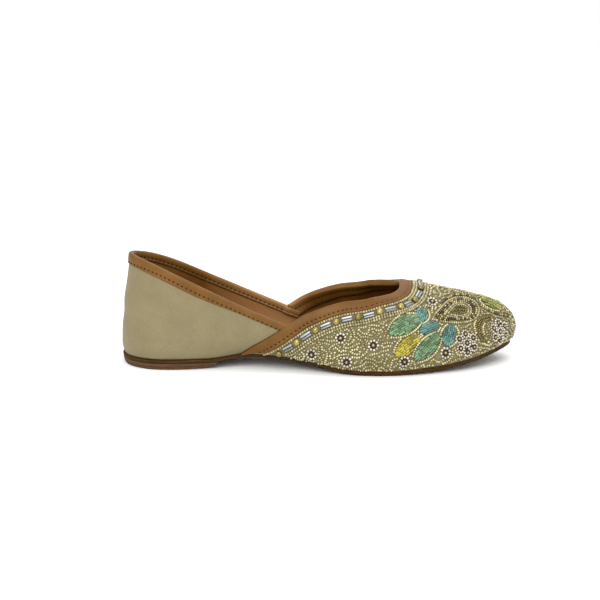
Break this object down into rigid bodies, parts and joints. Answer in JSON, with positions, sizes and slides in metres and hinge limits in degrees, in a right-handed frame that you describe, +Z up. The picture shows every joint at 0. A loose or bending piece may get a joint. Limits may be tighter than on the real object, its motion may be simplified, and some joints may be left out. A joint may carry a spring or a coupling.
{
  "type": "flat shoe",
  "caption": "Flat embroidered slip-on shoe with a low leather heel lift, an open throat and folded leather bindings, standing empty",
  "frame": {"origin": "on the floor, at the middle of the flat underside of the heel lift", "axes": "+X towards the toe, +Y towards the inner side of the foot, +Z up"},
  "size_m": [0.2499, 0.0903, 0.0699],
  "materials": {
    "quarter_leather": "smooth cream leather outside, tan lining inside",
    "beaded_cloth": "cloth closely covered with cream, gold, silver and coloured glass beads",
    "binding_leather": "tan leather strip, folded over the edge and stitched",
    "insole_leather": "smooth tan leather",
    "sole_leather": "dark brown sole leather, burnished edge",
    "heel_leather": "dark brown stacked leather, burnished edge"
  },
  "bodies": {
    "root": {"upper": "quarter_leather", "vamp_cover": "beaded_cloth", "collar_binding": "binding_leather", "vamp_binding": "binding_leather", "insole": "insole_leather", "outsole": "sole_leather", "heel_lift": "heel_leather"}
  },
  "joints": []
}
